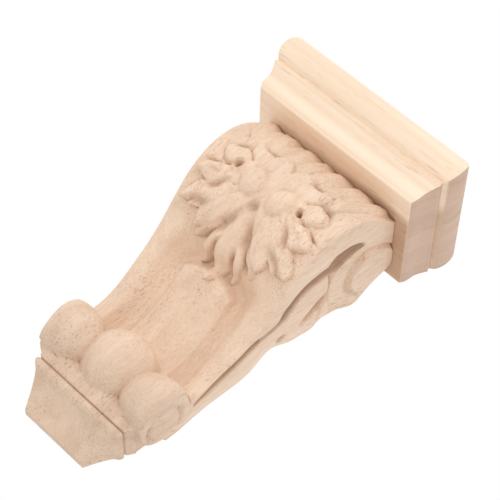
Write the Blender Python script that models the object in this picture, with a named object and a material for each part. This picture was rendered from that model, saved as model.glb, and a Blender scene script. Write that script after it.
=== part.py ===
"""Carved wooden corbel bracket: a scrolled console body under a moulded cap block.

Metres, +Z up.  The front of the bracket faces -Y, its back lies flat on the plane Y = 0, and the
origin is the point of the back that is fixed to the wall.
"""
import math

import bpy
import numpy as np

MM = 0.001

# Driving sizes
BODY_HEIGHT = 168.0 * MM       # cap underside to the foot
BODY_WIDTH = 78.7 * MM         # across the top of the body
BODY_DEPTH = 60.4 * MM         # wall to the fullest point of the volute
ORIGIN_DROP = 36.0 * MM        # the fixing point lies this far below the top of the body
JOINT_GAP = 0.3 * MM           # glue line between body and cap
CAP_WIDTH = 92.8 * MM          # underside of the cap, across
CAP_DEPTH = 59.0 * MM          # underside of the cap, wall to front
CAP_HEIGHT = 32.4 * MM
CAP_FLARE = 7.2 * MM           # how far the cap's round stands out past its underside
CAP_EDGE_ROUND = 1.1 * MM      # softened lower edge of the cap

# Cap moulding above its lower edge, a shallow ogee and a small quirk: (distance out as a share of the
# flare, height as a share of the cap's height)
CAP_OGEE = [(0.07, 0.060), (0.14, 0.110), (0.16, 0.170), (0.185, 0.235), (0.26, 0.290),
            (0.38, 0.350), (0.52, 0.410), (0.57, 0.443), (0.47, 0.470), (0.48, 0.490)]
CAP_ROUND_CENTRE = (0.40, 0.745)
CAP_ROUND_REACH = (0.60, 0.255)
CAP_ROUND_START = -58.0        # degrees; the round ends level with the cap's top
CAP_ROUND_END = 90.0

# The carving is laid out in shares of the body: it is 1.836 high, 0.86 wide and 0.66 deep
SHARE_HEIGHT = 1.836
SHARE_WIDTH = 0.86
SHARE_DEPTH = 0.66

# Front profile of the scroll: (drop below the cap, distance from the wall)
SCROLL = [(0.0, 0.435), (0.1, 0.535), (0.2, 0.610), (0.3, 0.650), (0.4, 0.660), (0.5, 0.638),
          (0.6, 0.580), (0.7, 0.480), (0.8, 0.372), (0.9, 0.290), (1.0, 0.230), (1.1, 0.180),
          (1.2, 0.152), (1.32, 0.152), (1.45, 0.175), (1.58, 0.200)]
# Half the width of the body: (drop, half width)
TAPER = [(0.0, 0.430), (0.3, 0.412), (0.6, 0.394), (0.8, 0.383), (1.0, 0.370), (1.2, 0.358),
         (1.4, 0.364), (1.5, 0.359), (1.6, 0.352)]

# Lower scrolls, ball and foot, all as shares
ROLL_DROP = 1.453
ROLL_OUT = 0.203
ROLL_RADIUS = 0.155
ROLL_FULL = 0.300              # a roll has its full radius this far across
ROLL_SPAN = 0.190              # and rounds off inwards over this much
BALL_DROP = 1.417
BALL_OUT = 0.200
BALL_RADIUS = 0.180
BALL_BULGE = 0.150             # how far the flattened ball stands out past its centre
WALL_SLOPE = 3.0               # steepness of the carved walls round the rolls and the ball
LEDGE_START = 1.490            # the ledge swells out from here, behind the rolls and the ball
LEDGE_DROP = 1.585             # its edge
LEDGE_OUT = 0.228
SIDE_STEP_DROP = 1.603          # on the sides the body steps in here to the plinth
SIDE_STEP = 0.003
PLINTH_HALF = 0.318
NECK_DROP = 1.649              # the thin groove round the foot
NECK_OUT = 0.204
NECK_HALF = 0.292
NECK_CUT = 0.010
NECK_CUT_HALF = 0.006
TORUS_TOP = 1.656
TORUS_BOTTOM = 1.697
TORUS_BULGE = 0.007
TORUS_FALL = 0.020             # the torus leans in this much at its lower edge
FOOT_OUT = 0.045
FOOT_HALF = 0.202
FOOT_DROP = SHARE_HEIGHT
COVE_POWER = 0.80              # below 1 the cavetto falls fast at its top and flattens to the foot

# Deep groove that follows the scroll on each side: (drop, distance from wall, half width, depth)
SIDE_GROOVE = [(0.185, 0.416, 0.010, 0.000), (0.205, 0.417, 0.024, 0.034), (0.24, 0.418, 0.046, 0.056),
               (0.30, 0.414, 0.070, 0.068), (0.345, 0.401, 0.084, 0.074), (0.385, 0.402, 0.080, 0.074),
               (0.415, 0.402, 0.062, 0.062), (0.435, 0.400, 0.045, 0.052), (0.52, 0.394, 0.043, 0.052),
               (0.60, 0.370, 0.044, 0.056), (0.66, 0.322, 0.050, 0.060),
               (0.70, 0.283, 0.056, 0.060), (0.722, 0.266, 0.050, 0.050), (0.74, 0.255, 0.028, 0.020),
               (0.85, 0.230, 0.026, 0.020), (0.87, 0.226, 0.034, 0.044), (0.92, 0.210, 0.037, 0.052),
               (1.0, 0.172, 0.035, 0.052), (1.1, 0.136, 0.032, 0.050), (1.2, 0.106, 0.028, 0.044),
               (1.26, 0.095, 0.020, 0.030), (1.28, 0.093, 0.014, 0.000)]
# How far the edge of the flat back lies inside the body's half width: (drop, inset)
BACK_INSET = [(0.0, 0.030), (0.09, 0.018), (0.15, 0.006), (0.20, -0.006), (0.28, -0.012),
              (0.34, 0.012), (0.40, 0.020), (0.45, 0.023), (0.50, 0.011), (0.58, 0.014),
              (0.65, 0.022), (0.70, 0.040), (0.742, 0.048), (0.80, 0.040), (0.84, 0.030),
              (0.90, 0.015), (1.0, 0.003), (1.2, 0.0), (1.84, 0.0)]
EYE_AT = (0.165, 0.132)        # the big volute eye on each side: (distance from wall, drop)
EYE_RADIUS = 0.152
COIL_AT = (0.165, 0.158)       # the coil round the eye
COIL_RADIUS = 0.252
VOLUTE_SINK = 0.040            # the side is sunk this much round the volute
VOLUTE_END = (0.40, 0.43)      # and comes back level between these drops
COIL_RISE = 0.030
EYE_RISE = 0.050
# Cuts and one swelling behind the groove: centre (distance from wall, drop), half sizes, lean,
# height, and how far out the full height goes
SIDE_SHAPES = [
    ((0.110, 0.455), (0.110, 0.040), 0.20, 0.014, 0.80),
    ((0.172, 0.505), (0.078, 0.054), 1.19, -0.055, 0.50),
    ((0.075, 0.700), (0.045, 0.028), 0.00, -0.050, 0.40),
    ((0.250, 0.407), (0.105, 0.024), 0.17, -0.045, 0.40),
]
WAIST_DROP = 0.77              # the back edge is drawn in where the upper scroll ends
WAIST_SPREAD = 0.11
WAIST_REACH = 0.24
WAIST_DEPTH = 0.040
BACK_ROUND = 0.11              # the side turns in towards the flat back within this distance
ROLL_EYE_AT = (0.130, 1.453)   # disc on the end of each lower roll
ROLL_EYE_RADIUS = 0.104
ROLL_EYE_DISH = 0.012
ROLL_END_OUT = 0.170           # the roll's end is round; below it the side steps in to the plinth
ROLL_END_STEP = 0.040

# Rounded petals of the front carving, right half: centre (across, down the surface), direction in
# degrees from straight down towards the side, half length, half width, height
PETALS = [
    ((0.155, 0.690), 24.0, 0.100, 0.050, 0.050),
    ((0.262, 0.592), 74.0, 0.104, 0.052, 0.044),
    ((0.262, 0.466), 90.0, 0.066, 0.062, 0.044),
    ((0.150, 0.395), 118.0, 0.098, 0.056, 0.040),
    ((0.062, 0.385), 160.0, 0.096, 0.056, 0.042),
    ((0.092, 0.527), -24.0, 0.084, 0.064, 0.062),
]
# Pointed leaves, right half: root, tip, half width, height
LEAVES = [
    ((0.130, 0.600), (0.345, 0.775), 0.058, 0.044),
    ((0.000, 0.580), (0.000, 1.030), 0.054, 0.054),
    ((0.050, 0.640), (0.150, 0.930), 0.048, 0.038),
    ((0.000, 0.430), (0.000, -0.08), 0.044, 0.022),
    ((0.075, 0.400), (0.108, -0.10), 0.078, 0.022),
    ((0.165, 0.390), (0.245, -0.10), 0.078, 0.020),
    ((0.250, 0.410), (0.372, -0.02), 0.062, 0.018),
]
CROWN_POWER = 0.9              # the cross-section of a leaf: 0.5 is a half round, more is gentler
# Hollows cut between the leaves, right half: centre, direction, half length, half width, depth
HOLLOWS = [
    ((0.204, 0.512), 0.0, 0.020, 0.020, 0.050),
    ((0.272, 0.405), 60.0, 0.036, 0.022, 0.034),
    ((0.145, 0.322), 70.0, 0.034, 0.018, 0.040),
    ((0.000, 0.622), 0.0, 0.030, 0.026, 0.034),
    ((0.075, 0.755), 26.0, 0.085, 0.020, 0.034),
]
GROOVE_POWER = 0.7             # the side groove falls from its inner edge to a steep outer wall
LEAF_FOOT = 0.018              # leaves rise this much at their outlines, then dome over
CREASE = 0.010                 # crease cut along the outline of each leaf
CREASE_HALF = 0.30
MASS_CENTRE = 0.570            # the leaves grow from one low swelling round this place
MASS_REACH = (0.255, 0.230)
MASS_HEIGHT = 0.018
WAVER = 0.0050                 # how far the hand-cut outlines stray from true
GROUND_CENTRE = 0.640          # the ground is sunk round this place down the surface
GROUND_REACH = (0.300, 0.330)
GROUND_SINK = 0.014
SCALLOP_NOTCHES = [0.040, 0.175, 0.315]
SCALLOP_HEIGHT = 0.018
SCALLOP_SPREAD = 0.045         # a notch opens out over this much
SCALLOP_SIDES = (0.37, 0.41)   # the scallops fade between these distances across
SCALLOP_END = (0.06, 0.30)     # and between these distances down

# Sunk channel of the lower face: a raised band in it and a rib along each side
CHANNEL_START = (0.84, 1.02)   # it sinks in between these distances down
CHANNEL_FLANK = (0.185, 0.290)
CHANNEL_DEPTH = 0.066
RIB_AT = 0.30
RIB_HALF = 0.06
RIB_HEIGHT = 0.010
BAND_FLANK = (0.150, 0.172)
BAND_START = (0.965, 1.02)     # its rounded upper end
BAND_BOW = 2.2                 # how strongly that end is bowed
BAND_HEIGHT = 0.018
BAND_TAPER = (1.0, 1.25)       # the band sinks to its plain height between these distances down
BAND_TALLER = 1.4              # and stands this much taller than that at its upper end
BAND_STEP_FLANK = (0.172, 0.186)
BAND_STEP = 0.008
BAND_CROWN = 0.012
BAND_CROWN_HALF = 0.14
CHANNEL_END = 1.5              # the rolls and the ball hide the channel below this drop

# Softened edges between the front and each side
ARRIS_ROUND = 0.016
ROLL_ARRIS_ROUND = 0.060       # the same on the ends of the lower rolls
ARRIS_FALL = 0.29              # how far the softening falls back, as a share of its size

# Mesh density of the solid
FRONT_COLUMNS = 44
SCROLL_ROWS = 54
SCROLL_END = 1.22              # the rolls' closer rows start at this drop
ROLL_ROWS = 15
BACK_COLUMNS = 6
GROOVE_MOST_OUT = 0.80         # near the foot the groove's columns stay within this share of the side
GROOVE_MOST_HALF = 0.17
TORUS_ROWS = (0.15, 0.35, 0.6, 0.8, 1.0)
CAVETTO_ROWS = (0.03, 0.12, 0.3, 0.55, 0.8, 1.0)


def smooth(low, high, value):
    """0 below low, 1 above high, and an even S-curve between."""
    t = np.clip((value - low) / (high - low), 0.0, 1.0)
    return t * t * (3.0 - 2.0 * t)


def spline(knots):
    """Natural cubic spline through (position, value) knots, held level beyond its ends."""
    px = np.array([k[0] for k in knots])
    py = np.array([k[1] for k in knots])
    gap = np.diff(px)
    rise = np.diff(py) / gap
    count = len(px)
    system = np.eye(count)
    target = np.zeros(count)
    for i in range(1, count - 1):
        system[i, i - 1] = gap[i - 1]
        system[i, i] = 2.0 * (gap[i - 1] + gap[i])
        system[i, i + 1] = gap[i]
        target[i] = 6.0 * (rise[i] - rise[i - 1])
    bend = np.linalg.solve(system, target)

    def value(where):
        where = np.clip(np.asarray(where, float), px[0], px[-1])
        i = np.clip(np.searchsorted(px, where) - 1, 0, count - 2)
        a = where - px[i]
        b = px[i + 1] - where
        h = gap[i]
        curve = (bend[i] * b ** 3 + bend[i + 1] * a ** 3) / (6.0 * h)
        return curve + (py[i] / h - bend[i] * h / 6.0) * b + (py[i + 1] / h - bend[i + 1] * h / 6.0) * a

    return value


scroll_out = spline(SCROLL)
taper_half = spline(TAPER)
groove_out = spline([(g[0], g[1]) for g in SIDE_GROOVE])
back_inset = spline(BACK_INSET)


def between(knots, column, where):
    """Straight interpolation of one column of a knot list."""
    return np.interp(where, [k[0] for k in knots], [k[column] for k in knots])


def under_neck(drop, neck, foot):
    """Torus and cavetto below the neck groove, from one size at the neck to another at the foot."""
    along = np.clip((drop - TORUS_TOP) / (TORUS_BOTTOM - TORUS_TOP), 0.0, 1.0)
    torus = neck + TORUS_BULGE * np.sin(math.pi * along) - TORUS_FALL * along ** 2
    fall = np.clip((drop - TORUS_BOTTOM) / (FOOT_DROP - TORUS_BOTTOM), 0.0, 1.0)
    start = neck - TORUS_FALL
    cavetto = start - (start - foot) * fall ** COVE_POWER
    return np.where(drop < TORUS_BOTTOM, torus, cavetto)


def below_ledge(drop, top_drop, ledge, neck, foot):
    """Size of the foot mouldings below the ledge: a slope to the neck, then torus and cavetto."""
    slope = ledge + (neck - ledge) * (drop - top_drop) / (NECK_DROP - top_drop)
    return np.where(drop <= NECK_DROP, slope, under_neck(drop, neck, foot))


def neck_cut(drop):
    """Depth of the thin groove round the foot."""
    return NECK_CUT * np.clip(1.0 - np.abs(drop - NECK_DROP) / NECK_CUT_HALF, 0.0, 1.0)


def half_width(drop):
    """Half width of the body at a drop, groove included."""
    foot = below_ledge(drop, SIDE_STEP_DROP, PLINTH_HALF, NECK_HALF, FOOT_HALF)
    step = smooth(SIDE_STEP_DROP - SIDE_STEP, SIDE_STEP_DROP, drop)
    return taper_half(drop) * (1.0 - step) + foot * step - neck_cut(drop)


def base_out(drop):
    """Distance from the wall of the plain scroll, before anything is carved on it."""
    ledge = smooth(LEDGE_START, LEDGE_DROP, drop)
    plain = scroll_out(drop) * (1.0 - ledge) + LEDGE_OUT * ledge
    foot = below_ledge(drop, LEDGE_DROP, LEDGE_OUT, NECK_OUT, FOOT_OUT)
    return np.where(drop < LEDGE_DROP, plain, foot) - neck_cut(drop)


def surface_length(drop):
    """Length along the scroll from the cap down to a drop."""
    steps = np.linspace(0.0, SHARE_HEIGHT, 1200)
    run = np.hypot(np.diff(steps), np.diff(scroll_out(steps)))
    return np.interp(drop, steps, np.concatenate([[0.0], np.cumsum(run)]))


def turned(across, down, centre, degrees):
    """Distances along and across a direction given in degrees from straight down to the side."""
    turn = math.radians(degrees)
    along = (across - centre[0]) * math.sin(turn) + (down - centre[1]) * math.cos(turn)
    aside = (across - centre[0]) * math.cos(turn) - (down - centre[1]) * math.sin(turn)
    return along, aside


def petal(across, down, centre, degrees, half_length, half_width_here, height):
    """Height of one rounded petal, and how far a place is from its middle: 1 on its outline."""
    along, aside = turned(across, down, centre, degrees)
    away = np.hypot(along / half_length, aside / half_width_here)
    foot = min(LEAF_FOOT, 0.55 * height)
    dome = (height - foot) * np.clip(1.0 - away ** 2, 0.0, 1.0) ** CROWN_POWER
    return foot * (1.0 - smooth(0.60, 1.0, away)) + dome, away


def leaf(across, down, root, tip, half, height):
    """Height of one pointed leaf, low at its root, and how far a place is from its midline."""
    reach = math.hypot(tip[0] - root[0], tip[1] - root[1])
    degrees = math.degrees(math.atan2(tip[0] - root[0], tip[1] - root[1]))
    along, aside = turned(across, down, root, degrees)
    inside = np.clip(along / reach, 0.001, 0.999)
    spread = half * (4.0 * inside * (1.0 - inside)) ** 0.45 * (0.80 + 0.30 * inside)
    edge = 1.0 - (aside / spread) ** 2
    edge = np.where((along > 0.0) & (along < reach), edge, 0.0)
    foot = min(LEAF_FOOT, 0.55 * height)
    dome = (height - foot) * np.clip(edge, 0.0, 1.0) ** CROWN_POWER
    away = np.where((along > 0.0) & (along < reach), np.abs(aside) / spread, 3.0)
    return (foot * smooth(0.0, 0.60, edge) + dome) * (0.50 + 0.50 * smooth(0.0, 0.7, inside)), away


def flower(across, down):
    """The leaf and flower carving on the volute."""
    stray = WAVER * (np.sin(31.0 * down + 17.0 * across + 0.6) + 0.6 * np.sin(67.0 * down - 23.0 * across))
    sway = WAVER * (np.sin(37.0 * across - 11.0 * down + 1.9) + 0.6 * np.sin(59.0 * across + 41.0 * down))
    across = across + stray * smooth(0.0, 0.05, np.abs(across))
    down = down + sway
    mirrored = np.abs(across)
    away = (across / GROUND_REACH[0]) ** 2 + ((down - GROUND_CENTRE) / GROUND_REACH[1]) ** 2
    relief = -GROUND_SINK * np.clip(1.0 - away, 0.0, 1.0)
    mass = np.hypot(mirrored / MASS_REACH[0], (down - MASS_CENTRE) / MASS_REACH[1])
    relief = np.maximum(relief, MASS_HEIGHT * (1.0 - smooth(0.84, 1.0, mass)))
    layers = [petal(mirrored, down, *values) for values in PETALS]
    layers += [leaf(mirrored, down, *values) for values in LEAVES]
    for height, away in layers:
        relief = relief - CREASE * np.exp(-((away - 1.0) / CREASE_HALF) ** 2)
        relief = np.where(away < 1.0, np.maximum(relief, height), relief)
    for centre, degrees, half_length, half_width_here, depth in HOLLOWS:
        along, aside = turned(mirrored, down, centre, degrees)
        relief = relief - depth * np.exp(-(along / half_length) ** 2 - (aside / half_width_here) ** 2)
    return relief


def scallops(across, down):
    """Leaf ends that meet the cap in a row of scallops."""
    relief = np.full_like(across, SCALLOP_HEIGHT)
    for notch in SCALLOP_NOTCHES:
        away = np.abs(np.abs(across) - notch) / SCALLOP_SPREAD
        relief = np.minimum(relief, SCALLOP_HEIGHT * np.clip(away, 0.0, 1.0) ** 0.6)
    sides = 1.0 - smooth(*SCALLOP_SIDES, np.abs(across))
    return relief * sides * (1.0 - smooth(*SCALLOP_END, down))


def channel(across, down):
    """The sunk middle of the lower face: a raised band between two grooves, and a rib each side."""
    aside = np.abs(across)
    length = smooth(*CHANNEL_START, down)
    rib = RIB_HEIGHT * np.clip(1.0 - ((aside - RIB_AT) / RIB_HALF) ** 2, 0.0, 1.0)
    flank = 1.0 - smooth(*CHANNEL_FLANK, aside)
    band_end = smooth(*BAND_START, down - BAND_BOW * aside ** 2)
    taller = 1.0 + BAND_TALLER * (1.0 - smooth(*BAND_TAPER, down))
    band = (1.0 - smooth(*BAND_FLANK, aside)) * band_end * taller
    step = (1.0 - smooth(*BAND_STEP_FLANK, aside)) * smooth(1.0, 1.08, down)
    crown = BAND_CROWN * np.clip(1.0 - (aside / BAND_CROWN_HALF) ** 2, 0.0, 1.0) * band_end
    return length * (rib - CHANNEL_DEPTH * flank + BAND_HEIGHT * band + BAND_STEP * step + crown)


def rolls_and_ball(across, drop):
    """Distance from the wall of the two lower rolls and the ball, with steep walls beyond them."""
    inward = np.clip((ROLL_FULL - np.abs(across)) / ROLL_SPAN, 0.0, 1.0)
    radius = ROLL_RADIUS * np.sqrt(1.0 - 0.96 * inward ** 2)
    roll = (ROLL_OUT, radius, radius, np.abs(drop - ROLL_DROP))
    ball = (BALL_OUT, BALL_RADIUS, BALL_BULGE, np.hypot(drop - BALL_DROP, across))
    proud = []
    for centre, size, bulge, away in (roll, ball):
        dome = centre + bulge * np.sqrt(np.clip(1.0 - (away / size) ** 2, 0.0, None))
        wall = centre - WALL_SLOPE * (away - size)
        proud.append(np.where(away < size, dome, wall))
    return np.maximum(proud[0], proud[1])


def front_point(across_share, drop):
    """A carved point of the front, as shares: (across, out, drop)."""
    half = half_width(drop)
    across = across_share * half
    down = surface_length(drop)
    tilt = np.arctan2(scroll_out(drop + 0.01) - scroll_out(drop - 0.01), 0.02)
    tilt = tilt * smooth(0.0, 0.10, drop) * (1.0 - smooth(1.10, 1.22, drop))
    relief = flower(across, down) + scallops(across, down) + channel(across, down) * (drop < CHANNEL_END)
    margin = half - np.abs(across)
    relief = relief * smooth(0.004, 0.035, margin)
    relief = relief - arris_round(margin, drop) * (1.0 - smooth(1.56, 1.60, drop))
    out = base_out(drop) + relief * np.cos(tilt)
    lower = drop - relief * np.sin(tilt)
    proud = rolls_and_ball(across, drop) - arris_round(margin, drop)
    out = np.where((drop > 1.20) & (proud > out), proud, out)
    return across, out, lower


def arris_round(away, drop):
    """How much a surface falls back near the softened edge between front and side."""
    at_roll = smooth(1.24, 1.32, drop) * (1.0 - smooth(1.54, 1.60, drop))
    size = ARRIS_ROUND + (ROLL_ARRIS_ROUND - ARRIS_ROUND) * at_roll
    return ARRIS_FALL * size * np.clip(1.0 - away / size, 0.0, 1.0) ** 2


def disc(out, drop, centre, radius):
    """1 inside a disc on the side, 0 outside it, with a narrow soft edge."""
    return 1.0 - smooth(0.93, 1.0, np.hypot(out - centre[0], drop - centre[1]) / radius)


def side_relief(out, drop, front):
    """How far the side stands out (or is cut in) at a place on it, as a share."""
    aside = out - groove_out(drop)
    half = between(SIDE_GROOVE, 2, drop)
    depth = between(SIDE_GROOVE, 3, drop)
    depth = np.where((drop < SIDE_GROOVE[0][0]) | (drop > SIDE_GROOVE[-1][0]), 0.0, depth)
    across_groove = np.clip(0.5 + 0.5 * aside / half, 0.0, 1.0)
    floor = across_groove ** GROOVE_POWER * (1.0 - smooth(0.90, 1.0, across_groove))
    groove = -depth * floor
    behind = 1.0 - smooth(-half, -0.8 * half, aside)
    eye = disc(out, drop, EYE_AT, EYE_RADIUS)
    coil = disc(out, drop, COIL_AT, COIL_RADIUS)
    eye_away = np.hypot(out - EYE_AT[0], drop - EYE_AT[1]) / EYE_RADIUS
    slope = COIL_RISE * coil * (1.3 - 0.5 * np.clip(eye_away, 0.0, 1.6)) - VOLUTE_SINK
    sunk = behind * (1.0 - smooth(*VOLUTE_END, drop))
    volute = sunk * np.maximum(slope * smooth(0.06, 0.22, drop), EYE_RISE * eye - VOLUTE_SINK)
    shapes = np.zeros_like(out)
    for centre, reach, lean, height, core in SIDE_SHAPES:
        aslant = drop - centre[1] + lean * (out - centre[0])
        away = np.hypot((out - centre[0]) / reach[0], aslant / reach[1])
        shapes = shapes + height * (1.0 - smooth(core, 1.0, away))
    waist = np.exp(-((drop - WAIST_DROP) / WAIST_SPREAD) ** 2) * np.clip(1.0 - out / WAIST_REACH, 0.0, 1.0)
    dish = ROLL_EYE_DISH * disc(out, drop, ROLL_EYE_AT, ROLL_EYE_RADIUS)
    end_away = np.hypot(out - ROLL_END_OUT, drop - ROLL_DROP) / ROLL_RADIUS
    beyond = smooth(0.90, 1.15, end_away) * smooth(ROLL_DROP, ROLL_DROP + 0.03, drop)
    roll_end = ROLL_END_STEP * beyond * (drop < SIDE_STEP_DROP - 0.5 * SIDE_STEP)
    carved = groove + volute + shapes - WAIST_DEPTH * waist - dish
    edge = np.clip(1.0 - out / BACK_ROUND, 0.0, 1.0) ** 1.5
    softened = arris_round(front - out, drop) * (1.0 - smooth(1.585, 1.60, drop))
    return carved * (1.0 - edge) - back_inset(drop) * edge - roll_end - softened


def drop_stations():
    """Drops of the mesh rows: even along the scroll, closer at the rolls and the foot mouldings."""
    fine = np.linspace(0.0, SCROLL_END, 400)
    lengths = surface_length(fine)
    upper = np.interp(np.linspace(0.0, lengths[-1], SCROLL_ROWS), lengths, fine)
    middle = np.linspace(SCROLL_END, LEDGE_DROP, ROLL_ROWS)[1:]
    step = [SIDE_STEP_DROP - SIDE_STEP, SIDE_STEP_DROP]
    neck = [NECK_DROP - NECK_CUT_HALF, NECK_DROP, NECK_DROP + NECK_CUT_HALF]
    torus = [TORUS_TOP + (TORUS_BOTTOM - TORUS_TOP) * share for share in TORUS_ROWS]
    cavetto = [TORUS_BOTTOM + (FOOT_DROP - TORUS_BOTTOM) * share for share in CAVETTO_ROWS]
    return np.array(list(upper) + list(middle) + step + neck + torus + cavetto)


def side_stations(front_out, drop):
    """Distances from the wall of the mesh columns on a side, from the front arris to the wall."""
    centre = min(float(groove_out(drop)), GROOVE_MOST_OUT * front_out)
    half = min(float(between(SIDE_GROOVE, 2, drop)), GROOVE_MOST_HALF * front_out)
    near = [front_out - 0.35 * (front_out - centre - half), centre + half]
    groove = [centre + 0.8 * half, centre - 0.1 * half, centre - half]
    rest = [(centre - half) * (1.0 - k / BACK_COLUMNS) for k in range(1, BACK_COLUMNS + 1)]
    return near + groove + rest


def place(across, out, drop):
    """Turns shares into metres in the bracket's own frame."""
    x = across * BODY_WIDTH / SHARE_WIDTH
    y = -out * BODY_DEPTH / SHARE_DEPTH
    z = ORIGIN_DROP - JOINT_GAP - drop * (BODY_HEIGHT - JOINT_GAP) / SHARE_HEIGHT
    return (float(x), float(y), float(z))


def body_mesh():
    """One closed mesh: carved front, two carved sides, and flat back, top and foot."""
    drops = drop_stations()
    shares = np.linspace(-1.0, 1.0, FRONT_COLUMNS + 1)
    grid_share, grid_drop = np.meshgrid(shares, drops)
    across, out, lower = front_point(grid_share, grid_drop)
    verts = []
    front = []
    left = []
    right = []
    for r, drop in enumerate(drops):
        row = []
        for c in range(len(shares)):
            row.append(len(verts))
            verts.append(place(across[r, c], out[r, c], lower[r, c]))
        front.append(row)
        for side, edge, store in ((-1.0, 0, left), (1.0, -1, right)):
            line = [row[edge]]
            for station in side_stations(float(out[r, edge]), drop):
                relief = side_relief(np.array(station), np.array(drop), out[r, edge])
                carved = float(half_width(drop) + relief)
                line.append(len(verts))
                verts.append(place(side * carved, station, drop))
            store.append(line)
    faces = []
    for r in range(len(drops) - 1):
        for c in range(len(shares) - 1):
            faces.append((front[r][c], front[r + 1][c], front[r + 1][c + 1], front[r][c + 1]))
        for c in range(len(right[0]) - 1):
            faces.append((right[r][c], right[r + 1][c], right[r + 1][c + 1], right[r][c + 1]))
            faces.append((left[r][c + 1], left[r + 1][c + 1], left[r + 1][c], left[r][c]))
        faces.append((right[r][-1], right[r + 1][-1], left[r + 1][-1], left[r][-1]))
    top = front[0] + right[0][1:] + left[0][:0:-1]
    foot = front[-1] + right[-1][1:] + left[-1][:0:-1]
    faces.append(tuple(top))
    faces.append(tuple(reversed(foot)))
    return verts, faces


def cap_profile():
    """Cap moulding from its underside up: (distance out past the underside, height)."""
    points = []
    for k in range(4):
        turn = math.radians(30.0 * k)
        points.append((-CAP_EDGE_ROUND * (1.0 - math.sin(turn)), CAP_EDGE_ROUND * (1.0 - math.cos(turn))))
    for out, height in CAP_OGEE:
        points.append((out * CAP_FLARE, height * CAP_HEIGHT))
    for k in range(9):
        turn = math.radians(CAP_ROUND_START + (CAP_ROUND_END - CAP_ROUND_START) * k / 8.0)
        points.append((CAP_FLARE * (CAP_ROUND_CENTRE[0] + CAP_ROUND_REACH[0] * math.cos(turn)),
                       CAP_HEIGHT * (CAP_ROUND_CENTRE[1] + CAP_ROUND_REACH[1] * math.sin(turn))))
    return points


def cap_mesh():
    """The profile run round three sides and closed flat at the back, underside and top."""
    verts = []
    faces = []
    rings = []
    for out, height in cap_profile():
        half = 0.5 * CAP_WIDTH + out
        z = ORIGIN_DROP + height
        ring = [(-half, 0.0, z), (-half, -CAP_DEPTH - out, z), (half, -CAP_DEPTH - out, z), (half, 0.0, z)]
        rings.append([len(verts) + i for i in range(4)])
        verts.extend(ring)
    for low, high in zip(rings, rings[1:]):
        for i in range(4):
            j = (i + 1) % 4
            faces.append((low[i], low[j], high[j], high[i]))
    faces.append(tuple(reversed(rings[0])))
    faces.append(tuple(rings[-1]))
    return verts, faces


def wood(name, colour, roughness):
    material = bpy.data.materials.new(name)
    material.use_nodes = True
    shader = material.node_tree.nodes["Principled BSDF"]
    shader.inputs["Base Color"].default_value = (*colour, 1.0)
    shader.inputs["Roughness"].default_value = roughness
    shader.inputs["Metallic"].default_value = 0.0
    return material


def make(name, mesh_data, material, sharp_degrees):
    verts, faces = mesh_data
    mesh = bpy.data.meshes.new(name)
    mesh.from_pydata(verts, [], faces)
    mesh.materials.append(material)
    mesh.validate()
    mesh.shade_smooth()
    mesh.set_sharp_from_angle(angle=math.radians(sharp_degrees))
    piece = bpy.data.objects.new(name, mesh)
    bpy.context.scene.collection.objects.link(piece)
    return piece


def corbel_body():
    return make("corbel_body", body_mesh(), wood("body_wood", (0.66, 0.45, 0.30), 0.62), 40.0)


def cap_block():
    return make("cap_block", cap_mesh(), wood("cap_wood", (0.80, 0.62, 0.42), 0.60), 30.0)


for old in list(bpy.data.objects):
    bpy.data.objects.remove(old, do_unlink=True)
corbel_body()
cap_block()
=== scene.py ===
"""Looks of the carved wooden corbel bracket: the fine carving of its body, its moulded cap, the
raw wood of both, and a pale studio seen from the photograph's viewing angle.

Metres, +Z up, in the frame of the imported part: the front faces -Y, the flat back is on Y = 0.
"""
import math

import bpy
import numpy as np
from mathutils import Matrix, Vector


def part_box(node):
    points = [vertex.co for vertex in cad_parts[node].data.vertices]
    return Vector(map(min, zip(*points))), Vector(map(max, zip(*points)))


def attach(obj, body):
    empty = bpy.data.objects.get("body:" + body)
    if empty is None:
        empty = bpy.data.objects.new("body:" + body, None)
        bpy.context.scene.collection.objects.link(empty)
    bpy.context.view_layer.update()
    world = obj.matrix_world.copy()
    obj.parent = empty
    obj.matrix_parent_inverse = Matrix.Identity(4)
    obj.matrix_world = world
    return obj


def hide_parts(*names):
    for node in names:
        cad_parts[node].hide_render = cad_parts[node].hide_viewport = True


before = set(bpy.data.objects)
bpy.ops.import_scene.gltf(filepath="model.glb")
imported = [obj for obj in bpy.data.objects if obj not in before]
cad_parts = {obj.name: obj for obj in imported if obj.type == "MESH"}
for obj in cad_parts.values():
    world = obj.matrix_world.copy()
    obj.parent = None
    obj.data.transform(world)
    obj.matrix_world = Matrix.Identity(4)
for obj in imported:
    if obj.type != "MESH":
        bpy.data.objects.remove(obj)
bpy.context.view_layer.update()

MM = 0.001

# The carving is laid out in shares of the body: 1.836 shares are its whole height
SHARE_HEIGHT = 1.836
body_low, body_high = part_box("corbel_body")
cap_low, cap_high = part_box("cap_block")
SHARE = (body_high.z - body_low.z) / SHARE_HEIGHT
BODY_TOP = body_high.z

# Front profile of the scroll: (drop below the cap, distance from the wall)
SCROLL = [(0.0, 0.435), (0.1, 0.535), (0.2, 0.610), (0.3, 0.650), (0.4, 0.660), (0.5, 0.638),
          (0.6, 0.580), (0.7, 0.480), (0.8, 0.372), (0.9, 0.290), (1.0, 0.230), (1.1, 0.180),
          (1.2, 0.152), (1.32, 0.152), (1.45, 0.175), (1.58, 0.200)]
# Half the width of the body: (drop, half width)
TAPER = [(0.0, 0.430), (0.3, 0.412), (0.6, 0.394), (0.8, 0.383), (1.0, 0.370), (1.2, 0.358),
         (1.4, 0.364), (1.5, 0.359), (1.6, 0.352)]

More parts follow.
